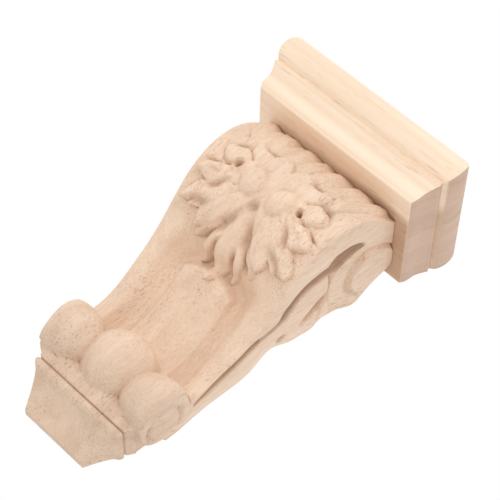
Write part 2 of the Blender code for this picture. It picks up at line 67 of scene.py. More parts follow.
# Lower scrolls, ball and foot, all as shares
ROLL_DROP = 1.453
ROLL_OUT = 0.203
ROLL_RADIUS = 0.155
ROLL_FULL = 0.300              # a roll has its full radius this far across
ROLL_SPAN = 0.190              # and rounds off inwards over this much
ROLL_PINCH = 0.96              # how nearly it closes at its inner end
BALL_DROP = 1.417
BALL_OUT = 0.200
BALL_RADIUS = 0.180
BALL_BULGE = 0.150             # how far the flattened ball stands out past its centre
WALL_SLOPE = 6.0               # steepness of the carved walls round the rolls and the ball
LEDGE_START = 1.490            # the ledge swells out from here, behind the rolls and the ball
LEDGE_DROP = 1.585             # its edge
LEDGE_OUT = 0.228
SIDE_STEP_DROP = 1.603         # on the sides the body steps in here to the plinth
SIDE_STEP = 0.003
PLINTH_HALF = 0.318
NECK_DROP = 1.649              # the thin groove round the foot
NECK_OUT = 0.204
NECK_HALF = 0.292
NECK_CUT = 0.010
NECK_CUT_HALF = 0.0055
TORUS_TOP = 1.656
TORUS_BOTTOM = 1.697
TORUS_BULGE = 0.007
TORUS_FALL = 0.020             # the torus leans in this much at its lower edge
FOOT_OUT = 0.045
FOOT_HALF = 0.202
FOOT_DROP = SHARE_HEIGHT
COVE_POWER = 0.80              # below 1 the cavetto falls fast at its top and flattens to the foot

# Deep groove that follows the scroll on each side: (drop, distance from wall, half width, depth)
SIDE_GROOVE = [(0.185, 0.416, 0.010, 0.000), (0.205, 0.417, 0.024, 0.034), (0.24, 0.418, 0.046, 0.056),
               (0.30, 0.414, 0.070, 0.068), (0.345, 0.401, 0.084, 0.074), (0.385, 0.402, 0.080, 0.074),
               (0.415, 0.402, 0.062, 0.062), (0.435, 0.400, 0.045, 0.052), (0.52, 0.394, 0.043, 0.052),
               (0.60, 0.370, 0.044, 0.056), (0.66, 0.322, 0.050, 0.060),
               (0.70, 0.283, 0.056, 0.060), (0.722, 0.266, 0.050, 0.050), (0.74, 0.255, 0.028, 0.020),
               (0.85, 0.230, 0.026, 0.020), (0.87, 0.226, 0.034, 0.044), (0.92, 0.210, 0.037, 0.052),
               (1.0, 0.172, 0.035, 0.052), (1.1, 0.136, 0.032, 0.050), (1.2, 0.106, 0.028, 0.044),
               (1.26, 0.095, 0.020, 0.030), (1.28, 0.093, 0.014, 0.000)]
GROOVE_POWER = 0.7             # the side groove falls from its inner edge to a steep outer wall
GROOVE_WALL = (0.90, 1.0)      # where that wall stands, as shares of the groove's width
GROOVE_SHADE_SPREAD = (0.0, 0.22)     # its painted shade comes in over this share of its width
GROOVE_SHADE_DEPTH = (0.0, 0.03)
FULL_CUT_SHADE_DEPTH = 0.060               # a cut this deep gets the full painted shade
NECK_SHADE = 0.5               # the thin groove round the foot gets this share of the painted shade
# How far the edge of the flat back lies inside the body's half width: (drop, inset)
BACK_INSET = [(0.0, 0.030), (0.09, 0.018), (0.15, 0.006), (0.20, -0.006), (0.28, -0.012),
              (0.34, 0.012), (0.40, 0.020), (0.45, 0.023), (0.50, 0.011), (0.58, 0.014),
              (0.65, 0.022), (0.70, 0.040), (0.742, 0.048), (0.80, 0.040), (0.84, 0.030),
              (0.90, 0.015), (1.0, 0.003), (1.2, 0.0), (1.84, 0.0)]
EYE_AT = (0.165, 0.132)        # the big volute eye on each side: (distance from wall, drop)
EYE_RADIUS = 0.152
COIL_AT = (0.165, 0.158)       # the coil round the eye
COIL_RADIUS = 0.252
VOLUTE_SINK = 0.040            # the side is sunk this much round the volute
VOLUTE_END = (0.40, 0.43)      # and comes back level between these drops
COIL_RISE = 0.030
COIL_SLOPE = (1.3, 0.5)        # full height of the coil, and how it falls with distance from the eye
COIL_SLOPE_END = 1.6
COIL_START = (0.06, 0.22)      # the coil comes in between these drops
EYE_RISE = 0.050
EYE_RING = 0.012               # fine groove round the eye
EYE_RING_AT = 1.03
EYE_RING_HALF = 0.05
# Cuts and one swelling behind the groove: centre (distance from wall, drop), half sizes, lean,
# height, and how far out the full height goes
SIDE_SHAPES = [
    ((0.110, 0.455), (0.110, 0.040), 0.20, 0.014, 0.80),
    ((0.172, 0.505), (0.078, 0.054), 1.19, -0.055, 0.50),
    ((0.075, 0.700), (0.045, 0.028), 0.00, -0.050, 0.40),
    ((0.250, 0.407), (0.105, 0.024), 0.17, -0.045, 0.40),
]
WAIST_DROP = 0.77              # the back edge is drawn in where the upper scroll ends
WAIST_SPREAD = 0.11
WAIST_REACH = 0.24
WAIST_DEPTH = 0.040
BACK_ROUND = 0.11              # the side turns in towards the flat back within this distance
BACK_ROUND_POWER = 1.5
ROLL_EYE_AT = (0.130, 1.453)   # disc on the end of each lower roll
ROLL_EYE_RADIUS = 0.104
ROLL_EYE_DISH = 0.006
ROLL_EYE_RING = 0.020
ROLL_EYE_RING_HALF = 0.10
ROLL_END_OUT = 0.170           # the roll's end is round; below it the side steps in to the plinth
ROLL_END_STEP = 0.040
ROLL_END_EDGE = (0.97, 1.05)
ROLL_END_START = 0.03          # the step comes in over this much drop below the roll's centre

# Rounded petals of the front carving, right half: centre (across, down the surface), direction in
# degrees from straight down towards the side, half length, half width, height
PETALS = [
    ((0.256, 0.464), 90.0, 0.078, 0.062, 0.038),
    ((0.160, 0.385), 126.0, 0.104, 0.062, 0.036),
    ((0.060, 0.375), 164.0, 0.110, 0.062, 0.036),
    ((0.090, 0.527), -24.0, 0.080, 0.068, 0.064),
]
# Pointed leaves, right half: root, tip, half width, height, depth of the veins
LEAVES = [
    ((0.075, 0.400), (0.108, -0.10), 0.078, 0.022, 0.005),
    ((0.165, 0.390), (0.245, -0.10), 0.078, 0.020, 0.005),
    ((0.250, 0.410), (0.372, -0.02), 0.062, 0.018, 0.004),
    ((0.000, 0.430), (0.000, -0.08), 0.044, 0.022, 0.004),
    ((0.095, 0.660), (0.180, 0.905), 0.044, 0.034, 0.003),
    ((0.130, 0.600), (0.352, 0.790), 0.064, 0.042, 0.004),
    ((0.130, 0.560), (0.362, 0.628), 0.060, 0.044, 0.003),
    ((0.120, 0.585), (0.285, 0.800), 0.046, 0.044, 0.003),
    ((0.095, 0.590), (0.205, 0.850), 0.060, 0.050, 0.004),
    ((0.028, 0.650), (0.105, 1.000), 0.042, 0.036, 0.003),
    ((0.000, 0.575), (0.000, 1.040), 0.066, 0.052, 0.005),
]
CROWN_POWER = 0.70             # the cross-section of a leaf: 0.5 is a half round, 1 a flat arc
LEAF_FULLNESS = (0.85, 0.30)   # width at the root, and how much is added towards the tip
LEAF_ROOT = 0.50               # height at the root, as a share of the leaf's own
LEAF_RISE_END = 0.7            # the leaf has its full height from this far along
LEAF_POINT = 0.76              # how pointed the leaves are: 0.5 is a round end
VEIN_PITCH = 0.40              # distance between veins, as a share of a leaf's half width
# Hollows cut between the leaves, right half: centre, direction, half length, half width, depth
HOLLOWS = [
    ((0.204, 0.512), 0.0, 0.014, 0.013, 0.050),
    ((0.272, 0.405), 60.0, 0.036, 0.022, 0.034),
    ((0.145, 0.322), 70.0, 0.034, 0.018, 0.040),
    ((0.000, 0.622), 0.0, 0.030, 0.026, 0.034),
    ((0.075, 0.755), 26.0, 0.085, 0.020, 0.034),
    ((0.062, 0.900), 10.0, 0.070, 0.012, 0.030),
    ((0.226, 0.632), 42.0, 0.060, 0.012, 0.024),
    ((0.250, 0.752), 58.0, 0.052, 0.020, 0.030),
    ((0.272, 0.598), 70.0, 0.044, 0.014, 0.014),
    ((0.330, 0.566), 70.0, 0.040, 0.008, 0.016),
    ((0.140, 0.868), 20.0, 0.036, 0.022, 0.020),
]
COLLAR_AT = (0.204, 0.512)     # a thin raised rim round the small drilled hole
COLLAR_RADIUS = 0.027
COLLAR_HALF = 0.010
COLLAR_HEIGHT = 0.016
LEAF_FOOT = 0.014              # leaves rise this much at their outlines, then dome over
CREASE = 0.005                 # crease cut along the outline of each leaf
CREASE_HALF = 0.14
FOOT_MOST = 0.55               # but no more than this share of their height
OUTLINE_EDGE = (0.84, 1.0)     # where that rise stands, as shares of the way out
LEAF_EDGE = (0.0, 0.20)
VEIN_EDGE = (0.0, 0.25)        # the veins fade out towards a leaf's outline
MASS_CENTRE = 0.570            # the leaves grow from one low swelling round this place
MASS_REACH = (0.255, 0.230)
MASS_HEIGHT = 0.026
WAVER = 0.0042                 # how far the hand-cut outlines stray from true
WAVER_CENTRE = (0.0, 0.05)     # the carving's middle line keeps straight
WAVER_QUICK = 0.6              # size of the quicker of two waves
# A slow and a quick wave each: waves across, waves down, start
STRAY_WAVES = ((17.0, 31.0, 0.6), (-23.0, 67.0, 0.0))
SWAY_WAVES = ((37.0, -11.0, 1.9), (59.0, 41.0, 0.0))
GROUND_CENTRE = 0.640          # the ground is sunk round this place down the surface
GROUND_REACH = (0.300, 0.330)
GROUND_SINK = 0.014
SCALLOP_NOTCHES = [0.040, 0.175, 0.315]
SCALLOP_HEIGHT = 0.018
SCALLOP_SPREAD = 0.045         # a notch opens out over this much
SCALLOP_POWER = 0.6
SCALLOP_SIDES = (0.37, 0.41)   # the scallops fade between these distances across
SCALLOP_END = (0.06, 0.30)     # and between these distances down

# Sunk channel of the lower face: a raised band in it and a rib along each side
CHANNEL_START = (0.84, 1.02)   # it sinks in between these distances down
CHANNEL_FLANK = (0.185, 0.290)
CHANNEL_DEPTH = 0.066
RIB_AT = 0.30
RIB_HALF = 0.06
RIB_HEIGHT = 0.010
BAND_FLANK = (0.150, 0.172)
BAND_START = (0.975, 1.01)     # its rounded upper end
BAND_BOW = 2.2                 # how strongly that end is bowed
BAND_HEIGHT = 0.018
BAND_TAPER = (1.0, 1.25)       # the band sinks to its plain height between these distances down
BAND_TALLER = 2.0              # and stands this much taller than that at its upper end
BAND_STEP_FLANK = (0.172, 0.186)
BAND_STEP_START = (1.0, 1.08)
BAND_STEP = 0.008
BAND_CROWN = 0.012
BAND_CROWN_HALF = 0.14
MOAT_AT = 0.950                # shallow cut just above the band's upper end
MOAT_HALF = 0.035
MOAT_SIDES = (0.16, 0.24)
MOAT_DEPTH = 0.016
CHANNEL_END = 1.5              # the rolls and the ball hide the channel below this drop

# Mesh density of the fine body
FRONT_COLUMNS = 160
SCROLL_ROWS = 225
ROLL_ROWS = 78
FOOT_ROWS = 36
TORUS_ROWS = 9
MARGIN_COLUMNS = 6
GROOVE_COLUMNS = 12
FLANK_COLUMNS = 38
GROOVE_MOST_OUT = 0.80         # near the foot the groove's columns stay within this share of the side
GROOVE_MOST_HALF = 0.17
GROOVE_SPARE = 1.15            # they reach a little past both edges of the groove
SCROLL_END = 1.20              # the rolls' closer rows start at this drop
ARRIS_ROUND = 0.016            # softened edge between the front and each side
ROLL_ARRIS_ROUND = 0.060       # the same on the ends of the lower rolls
ROLL_ARRIS_START = (1.24, 1.32)
ROLL_ARRIS_END = (1.54, 1.60)
FRONT_ARRIS_END = (1.56, 1.60) # the front's softening ends between these drops
SIDE_ARRIS_END = (1.585, 1.60) # and the side's between these
MARGIN = (0.004, 0.035)        # the carving fades out this near the arris
TILT_START = (0.0, 0.10)       # relief stands square to the scroll between these drops, and
TILT_END = (1.10, 1.22)        # level above and below them
TILT_STEP = 0.01
MEASURE_STEPS = 1200           # steps in which the scroll's length is measured
FINE_STEPS = 400
ARRIS_FALL = 0.29              # how far the softening falls back, as a share of its size

# Cap moulding: (distance out past the underside as a share of the flare, share of the height)
CAP_UNDERSIDE_HALF = 46.4 * MM
CAP_UNDERSIDE_DEPTH = 59.0 * MM
CAP_EDGE_ROUND = 1.1 * MM
CAP_CORNER_ROUND = 0.5 * MM
CAP_OGEE = [(0.0, 0.034), (0.07, 0.060), (0.13, 0.110), (0.16, 0.170), (0.185, 0.235), (0.26, 0.290),
            (0.38, 0.350), (0.52, 0.410), (0.57, 0.443), (0.47, 0.470), (0.48, 0.490)]
CAP_ROUND_CENTRE = (0.40, 0.745)
CAP_ROUND_REACH = (0.60, 0.255)
CAP_ROUND_START = -58.0                # degrees; the round ends level with the cap's top
CAP_ROUND_END = 90.0
CAP_EDGE_STEPS = 8
CAP_OGEE_STEPS = 40
CAP_ROUND_STEPS = 24
CAP_CORNER_STEPS = 4

# Wood colours: the darker and the lighter of the grain, and the pores; then painted shade and painted light
BODY_TONES = ((0.750, 0.556, 0.420), (0.832, 0.648, 0.510))
BODY_PORE = (0.47, 0.27, 0.16)
CAP_TONES = ((0.865, 0.665, 0.500), (0.945, 0.765, 0.605))
CAP_PORE = (0.70, 0.44, 0.25)
END_TONES = ((0.545, 0.370, 0.270), (0.650, 0.460, 0.350))
# painted shade: the colour multiplied into the body's grooves and hollows
CUT_SHADE_COLOUR = (0.50, 0.38, 0.29)
FOOT_SHADE = (0.87, 0.85, 0.84)        # darker towards the foot
FOOT_SHADE_LOW = -0.112
FOOT_SHADE_HIGH = -0.079
PAINTED_LIGHT_LIFT = (1.045, 1.045, 1.045)      # painted light: a little paler in a band across the upper scroll, where it sweeps in under the leaves
PAINTED_LIGHT_LOW = (-0.062, -0.045)
PAINTED_LIGHT_HIGH = (0.012, -0.002)
JOINT_PAINTED_SHADOW = (0.62, 0.50, 0.42)       # painted shadow: the cap's underside is darkened along the joint with the body, more towards its right end
JOINT_SHADOW_FRONT = (-0.0485, -0.0410)
JOINT_SHADOW_SIDE = (0.000, 0.032)

# The photograph's camera, in the bracket's frame
CAMERA_PLACE = Vector((0.3438, -0.6928, -0.3705))
CAMERA_RIGHT = Vector((0.70142, -0.01833, 0.71252))
CAMERA_BACK = Vector((0.41487, -0.80237, -0.42905))
CAMERA_LENS = 134.82


def smooth(low, high, value):
    """0 below low, 1 above high, and an even S-curve between."""
    t = np.clip((value - low) / (high - low), 0.0, 1.0)
    return t * t * (3.0 - 2.0 * t)


def spline(knots):
    """Natural cubic spline through (position, value) knots, held level beyond its ends."""
    px = np.array([k[0] for k in knots])
    py = np.array([k[1] for k in knots])
    gap = np.diff(px)
    rise = np.diff(py) / gap
    count = len(px)
    system = np.eye(count)
    target = np.zeros(count)
    for i in range(1, count - 1):
        system[i, i - 1] = gap[i - 1]
        system[i, i] = 2.0 * (gap[i - 1] + gap[i])
        system[i, i + 1] = gap[i]
        target[i] = 6.0 * (rise[i] - rise[i - 1])
    bend = np.linalg.solve(system, target)

    def value(where):
        where = np.clip(np.asarray(where, float), px[0], px[-1])
        i = np.clip(np.searchsorted(px, where) - 1, 0, count - 2)
        a = where - px[i]
        b = px[i + 1] - where
        h = gap[i]
        curve = (bend[i] * b ** 3 + bend[i + 1] * a ** 3) / (6.0 * h)
        return curve + (py[i] / h - bend[i] * h / 6.0) * b + (py[i + 1] / h - bend[i + 1] * h / 6.0) * a

    return value


scroll_out = spline(SCROLL)
taper_half = spline(TAPER)
groove_out = spline([(g[0], g[1]) for g in SIDE_GROOVE])
back_inset = spline(BACK_INSET)


def between(knots, column, where):
    """Straight interpolation of one column of a knot list."""
    return np.interp(where, [k[0] for k in knots], [k[column] for k in knots])


def under_neck(drop, neck, foot):
    """Torus and cavetto below the neck groove, from one size at the neck to another at the foot."""
    along = np.clip((drop - TORUS_TOP) / (TORUS_BOTTOM - TORUS_TOP), 0.0, 1.0)
    torus = neck + TORUS_BULGE * np.sin(math.pi * along) - TORUS_FALL * along ** 2
    fall = np.clip((drop - TORUS_BOTTOM) / (FOOT_DROP - TORUS_BOTTOM), 0.0, 1.0)
    start = neck - TORUS_FALL
    cavetto = start - (start - foot) * fall ** COVE_POWER
    return np.where(drop < TORUS_BOTTOM, torus, cavetto)


def below_ledge(drop, top_drop, ledge, neck, foot):
    """Size of the foot mouldings below the ledge: a slope to the neck, then torus and cavetto."""
    slope = ledge + (neck - ledge) * (drop - top_drop) / (NECK_DROP - top_drop)
    return np.where(drop <= NECK_DROP, slope, under_neck(drop, neck, foot))


def neck_cut(drop):
    """Depth of the thin groove round the foot."""
    return NECK_CUT * np.clip(1.0 - np.abs(drop - NECK_DROP) / NECK_CUT_HALF, 0.0, 1.0)


def half_width(drop):
    """Half width of the body at a drop, groove included."""
    foot = below_ledge(drop, SIDE_STEP_DROP, PLINTH_HALF, NECK_HALF, FOOT_HALF)
    step = smooth(SIDE_STEP_DROP - SIDE_STEP, SIDE_STEP_DROP, drop)
    return taper_half(drop) * (1.0 - step) + foot * step - neck_cut(drop)


def base_out(drop):
    """Distance from the wall of the plain scroll, before anything is carved on it."""
    ledge = smooth(LEDGE_START, LEDGE_DROP, drop)
    plain = scroll_out(drop) * (1.0 - ledge) + LEDGE_OUT * ledge
    foot = below_ledge(drop, LEDGE_DROP, LEDGE_OUT, NECK_OUT, FOOT_OUT)
    return np.where(drop < LEDGE_DROP, plain, foot) - neck_cut(drop)


def surface_length(drop):
    """Length along the scroll from the cap down to a drop."""
    steps = np.linspace(0.0, SHARE_HEIGHT, MEASURE_STEPS)
    run = np.hypot(np.diff(steps), np.diff(scroll_out(steps)))
    return np.interp(drop, steps, np.concatenate([[0.0], np.cumsum(run)]))


def turned(across, down, centre, degrees):
    """Distances along and across a direction given in degrees from straight down to the side."""
    turn = math.radians(degrees)
    along = (across - centre[0]) * math.sin(turn) + (down - centre[1]) * math.cos(turn)
    aside = (across - centre[0]) * math.cos(turn) - (down - centre[1]) * math.sin(turn)
    return along, aside


def petal(across, down, centre, degrees, half_length, half_width_here, height):
    """Height of one rounded petal, and how far a place is from its middle: 1 on its outline."""
    along, aside = turned(across, down, centre, degrees)
    away = np.hypot(along / half_length, aside / half_width_here)
    foot = min(LEAF_FOOT, FOOT_MOST * height)
    dome = (height - foot) * np.clip(1.0 - away ** 2, 0.0, 1.0) ** CROWN_POWER
    return foot * (1.0 - smooth(*OUTLINE_EDGE, away)) + dome, away


def leaf(across, down, root, tip, half, height, vein):
    """Height of one pointed leaf, low at its root, and how far a place is from its midline."""
    reach = math.hypot(tip[0] - root[0], tip[1] - root[1])
    degrees = math.degrees(math.atan2(tip[0] - root[0], tip[1] - root[1]))
    along, aside = turned(across, down, root, degrees)
    inside = np.clip(along / reach, 0.001, 0.999)
    spread = half * (4.0 * inside * (1.0 - inside)) ** LEAF_POINT
    spread = spread * (LEAF_FULLNESS[0] + LEAF_FULLNESS[1] * inside)
    edge = 1.0 - (aside / spread) ** 2
    edge = np.where((along > 0.0) & (along < reach), edge, 0.0)
    foot = min(LEAF_FOOT, FOOT_MOST * height)
    dome = (height - foot) * np.clip(edge, 0.0, 1.0) ** CROWN_POWER
    wave = 0.5 - 0.5 * np.cos(math.pi * aside / (half * VEIN_PITCH))
    ribs = vein * wave * smooth(*VEIN_EDGE, edge)
    rise = LEAF_ROOT + (1.0 - LEAF_ROOT) * smooth(0.0, LEAF_RISE_END, inside)
    away = np.where((along > 0.0) & (along < reach), np.abs(aside) / spread, 3.0)
    return (foot * smooth(*LEAF_EDGE, edge) + dome) * rise - ribs, away


def waver(across, down, waves):
    """How far a hand-cut outline strays here."""
    slow, quick = [np.sin(b * down + a * across + start) for a, b, start in waves]
    return WAVER * (slow + WAVER_QUICK * quick)


def flower(across, down):
    """The leaf and flower carving on the volute."""
    stray = waver(across, down, STRAY_WAVES)
    sway = waver(across, down, SWAY_WAVES)
    across = across + stray * smooth(*WAVER_CENTRE, np.abs(across))
    down = down + sway
    mirrored = np.abs(across)
    away = (across / GROUND_REACH[0]) ** 2 + ((down - GROUND_CENTRE) / GROUND_REACH[1]) ** 2
    relief = -GROUND_SINK * np.clip(1.0 - away, 0.0, 1.0)
    mass = np.hypot(mirrored / MASS_REACH[0], (down - MASS_CENTRE) / MASS_REACH[1])
    relief = np.maximum(relief, MASS_HEIGHT * (1.0 - smooth(*OUTLINE_EDGE, mass)))
    layers = [leaf(mirrored, down, *values) for values in LEAVES]
    layers += [petal(mirrored, down, *values) for values in PETALS]
    for height, away in layers:
        relief = relief - CREASE * np.exp(-((away - 1.0) / CREASE_HALF) ** 2)
        relief = np.where(away < 1.0, np.maximum(relief, height), relief)
    ring = np.hypot(mirrored - COLLAR_AT[0], down - COLLAR_AT[1]) - COLLAR_RADIUS
    relief = relief + COLLAR_HEIGHT * np.exp(-(ring / COLLAR_HALF) ** 2)
    sunk = np.zeros_like(relief)
    for centre, degrees, half_length, half_width_here, depth in HOLLOWS:
        along, aside = turned(mirrored, down, centre, degrees)
        sunk = sunk + depth * np.exp(-(along / half_length) ** 2 - (aside / half_width_here) ** 2)
    return relief - sunk, sunk


def scallops(across, down):
    """Leaf ends that meet the cap in a row of scallops."""
    relief = np.full_like(across, SCALLOP_HEIGHT)
    for notch in SCALLOP_NOTCHES:
        away = np.abs(np.abs(across) - notch) / SCALLOP_SPREAD
        relief = np.minimum(relief, SCALLOP_HEIGHT * np.clip(away, 0.0, 1.0) ** SCALLOP_POWER)
    sides = 1.0 - smooth(*SCALLOP_SIDES, np.abs(across))
    return relief * sides * (1.0 - smooth(*SCALLOP_END, down))


def channel(across, down):
    """The sunk middle of the lower face: a raised band between two grooves, and a rib each side."""
    aside = np.abs(across)
    bowed = down - BAND_BOW * aside ** 2
    length = smooth(*CHANNEL_START, down)
    rib = RIB_HEIGHT * np.clip(1.0 - ((aside - RIB_AT) / RIB_HALF) ** 2, 0.0, 1.0)
    flank = 1.0 - smooth(*CHANNEL_FLANK, aside)
    band_end = smooth(*BAND_START, bowed)
    taller = 1.0 + BAND_TALLER * (1.0 - smooth(*BAND_TAPER, down))
    band = (1.0 - smooth(*BAND_FLANK, aside)) * band_end * taller
    step = (1.0 - smooth(*BAND_STEP_FLANK, aside)) * smooth(*BAND_STEP_START, down)
    crown = BAND_CROWN * np.clip(1.0 - (aside / BAND_CROWN_HALF) ** 2, 0.0, 1.0) * band_end
    moat = MOAT_DEPTH * np.exp(-((bowed - MOAT_AT) / MOAT_HALF) ** 2) * (1.0 - smooth(*MOAT_SIDES, aside))
    carved = rib - CHANNEL_DEPTH * flank + BAND_HEIGHT * band + BAND_STEP * step + crown
    return length * carved - moat


def rolls_and_ball(across, drop):
    """Distance from the wall of the two lower rolls and the ball, with steep walls beyond them."""
    inward = np.clip((ROLL_FULL - np.abs(across)) / ROLL_SPAN, 0.0, 1.0)
    radius = ROLL_RADIUS * np.sqrt(1.0 - ROLL_PINCH * inward ** 2)
    roll = (ROLL_OUT, radius, radius, np.abs(drop - ROLL_DROP))
    ball = (BALL_OUT, BALL_RADIUS, BALL_BULGE, np.hypot(drop - BALL_DROP, across))
    proud = []
    for centre, size, bulge, away in (roll, ball):
        dome = centre + bulge * np.sqrt(np.clip(1.0 - (away / size) ** 2, 0.0, None))
        wall = centre - WALL_SLOPE * (away - size)
        proud.append(np.where(away < size, dome, wall))
    return np.maximum(proud[0], proud[1])


def front_point(across_share, drop):
    """A carved point of the front, as shares: (across, out, drop), and the painted shade of its cuts."""
    half = half_width(drop)
    across = across_share * half
    down = surface_length(drop)
    rise = scroll_out(drop + TILT_STEP) - scroll_out(drop - TILT_STEP)
    tilt = np.arctan2(rise, 2.0 * TILT_STEP)
    tilt = tilt * smooth(*TILT_START, drop) * (1.0 - smooth(*TILT_END, drop))
    relief, sunk = flower(across, down)
    relief = relief + scallops(across, down) + channel(across, down) * (drop < CHANNEL_END)
    margin = half - np.abs(across)
    relief = relief * smooth(*MARGIN, margin)
    relief = relief - arris_round(margin, drop) * (1.0 - smooth(*FRONT_ARRIS_END, drop))
    out = base_out(drop) + relief * np.cos(tilt)
    lower = drop - relief * np.sin(tilt)
    proud = rolls_and_ball(across, drop) - arris_round(margin, drop)
    out = np.where((drop > SCROLL_END) & (proud > out), proud, out)
    # painted shade, deepest in the carving's hollows, and some in the neck groove
    cut_shade = np.clip(sunk / FULL_CUT_SHADE_DEPTH, 0.0, 1.0) + NECK_SHADE * neck_cut(drop) / NECK_CUT
    return across, out, lower, np.clip(cut_shade, 0.0, 1.0)


def arris_round(away, drop):
    """How much a surface falls back near the softened edge between front and side."""
    at_roll = smooth(*ROLL_ARRIS_START, drop) * (1.0 - smooth(*ROLL_ARRIS_END, drop))
    size = ARRIS_ROUND + (ROLL_ARRIS_ROUND - ARRIS_ROUND) * at_roll
    return ARRIS_FALL * size * np.clip(1.0 - away / size, 0.0, 1.0) ** 2


def disc(out, drop, centre, radius):
    """1 inside a disc on the side, 0 outside it, with a narrow soft edge."""
    return 1.0 - smooth(0.93, 1.0, np.hypot(out - centre[0], drop - centre[1]) / radius)


def side_relief(out, drop, front):
    """How far the side stands out (or is cut in) at a place on it, as a share, and how much painted shade it
    gets there.
    """
    aside = out - groove_out(drop)
    half = between(SIDE_GROOVE, 2, drop)
    depth = between(SIDE_GROOVE, 3, drop)
    depth = np.where((drop < SIDE_GROOVE[0][0]) | (drop > SIDE_GROOVE[-1][0]), 0.0, depth)
    across_groove = np.clip(0.5 + 0.5 * aside / half, 0.0, 1.0)
    floor = across_groove ** GROOVE_POWER * (1.0 - smooth(*GROOVE_WALL, across_groove))
    groove = -depth * floor
    behind = 1.0 - smooth(-half, -0.8 * half, aside)
    eye = disc(out, drop, EYE_AT, EYE_RADIUS)
    coil = disc(out, drop, COIL_AT, COIL_RADIUS)
    eye_away = np.hypot(out - EYE_AT[0], drop - EYE_AT[1]) / EYE_RADIUS
    fall = COIL_SLOPE[0] - COIL_SLOPE[1] * np.clip(eye_away, 0.0, COIL_SLOPE_END)
    slope = COIL_RISE * coil * fall - VOLUTE_SINK
    sunk = behind * (1.0 - smooth(*VOLUTE_END, drop))
    volute = sunk * np.maximum(slope * smooth(*COIL_START, drop), EYE_RISE * eye - VOLUTE_SINK)
    shapes = np.zeros_like(out)
    for centre, reach, lean, height, core in SIDE_SHAPES:
        aslant = drop - centre[1] + lean * (out - centre[0])
        away = np.hypot((out - centre[0]) / reach[0], aslant / reach[1])
        shapes = shapes + height * (1.0 - smooth(core, 1.0, away))
    waist = np.exp(-((drop - WAIST_DROP) / WAIST_SPREAD) ** 2) * np.clip(1.0 - out / WAIST_REACH, 0.0, 1.0)
    roll_away = np.hypot(out - ROLL_EYE_AT[0], drop - ROLL_EYE_AT[1]) / ROLL_EYE_RADIUS
    dish = ROLL_EYE_DISH * disc(out, drop, ROLL_EYE_AT, ROLL_EYE_RADIUS)
    ring = EYE_RING * np.exp(-((eye_away - EYE_RING_AT) / EYE_RING_HALF) ** 2) * behind
    ring = ring + ROLL_EYE_RING * np.exp(-((roll_away - 1.0) / ROLL_EYE_RING_HALF) ** 2)
    end_away = np.hypot(out - ROLL_END_OUT, drop - ROLL_DROP) / ROLL_RADIUS
    beyond = smooth(*ROLL_END_EDGE, end_away) * smooth(ROLL_DROP, ROLL_DROP + ROLL_END_START, drop)
    roll_end = ROLL_END_STEP * beyond * (drop < SIDE_STEP_DROP - 0.5 * SIDE_STEP)
    carved = groove + volute + shapes - WAIST_DEPTH * waist - dish - ring
    edge = np.clip(1.0 - out / BACK_ROUND, 0.0, 1.0) ** BACK_ROUND_POWER
    softened = arris_round(front - out, drop) * (1.0 - smooth(*SIDE_ARRIS_END, drop))
    # painted shade inside the side groove and in the cut-in shapes behind it
    inside = smooth(*GROOVE_SHADE_SPREAD, across_groove) * (across_groove < 1.0)
    groove_shade = inside * smooth(*GROOVE_SHADE_DEPTH, depth) + np.clip(-shapes, 0.0, None) / FULL_CUT_SHADE_DEPTH
    cut_shade = np.clip(groove_shade, 0.0, 1.0) * (1.0 - edge)
    return carved * (1.0 - edge) - back_inset(drop) * edge - roll_end - softened, cut_shade


def drop_stations():
    """Drops of the mesh rows: even along the scroll, closer at the rolls and the foot mouldings."""
    fine = np.linspace(0.0, SCROLL_END, FINE_STEPS)
    lengths = surface_length(fine)
    upper = np.interp(np.linspace(0.0, lengths[-1], SCROLL_ROWS), lengths, fine)
    middle = np.linspace(SCROLL_END, LEDGE_DROP, ROLL_ROWS)[1:]
    edges = [SIDE_STEP_DROP - SIDE_STEP, SIDE_STEP_DROP, NECK_DROP - NECK_CUT_HALF, NECK_DROP]
    edges += list(np.linspace(TORUS_TOP, TORUS_BOTTOM, TORUS_ROWS))
    lower = np.linspace(LEDGE_DROP, FOOT_DROP, FOOT_ROWS)[1:]
    return np.array(sorted(list(upper) + list(middle) + list(lower) + edges))


def side_stations(front_out, drop):
    """Distances from the wall of the mesh columns on a side, from the front arris to the wall."""
    centre = np.minimum(groove_out(drop), GROOVE_MOST_OUT * front_out)
    half = GROOVE_SPARE * np.minimum(between(SIDE_GROOVE, 2, drop), GROOVE_MOST_HALF * front_out)
    knots = [front_out, centre + half, centre - half, np.zeros_like(drop)]
    columns = []
    for (start, end, count) in zip(knots, knots[1:], (MARGIN_COLUMNS, GROOVE_COLUMNS, FLANK_COLUMNS)):
        for k in range(1, count + 1):
            columns.append(start + (end - start) * k / count)
    return np.stack(columns, axis=1)


def place(across, out, drop):
    """Turns shares into metres in the bracket's own frame."""
    return np.stack([across * SHARE, -out * SHARE, BODY_TOP - drop * SHARE], axis=-1)


def quads(grid, flip=False):
    """Faces of a grid of vertex numbers."""
    a = grid[:-1, :-1]
    b = grid[1:, :-1]
    c = grid[1:, 1:]
    d = grid[:-1, 1:]
    order = (a, d, c, b) if flip else (a, b, c, d)
    return np.stack(order, axis=-1).reshape(-1, 4)


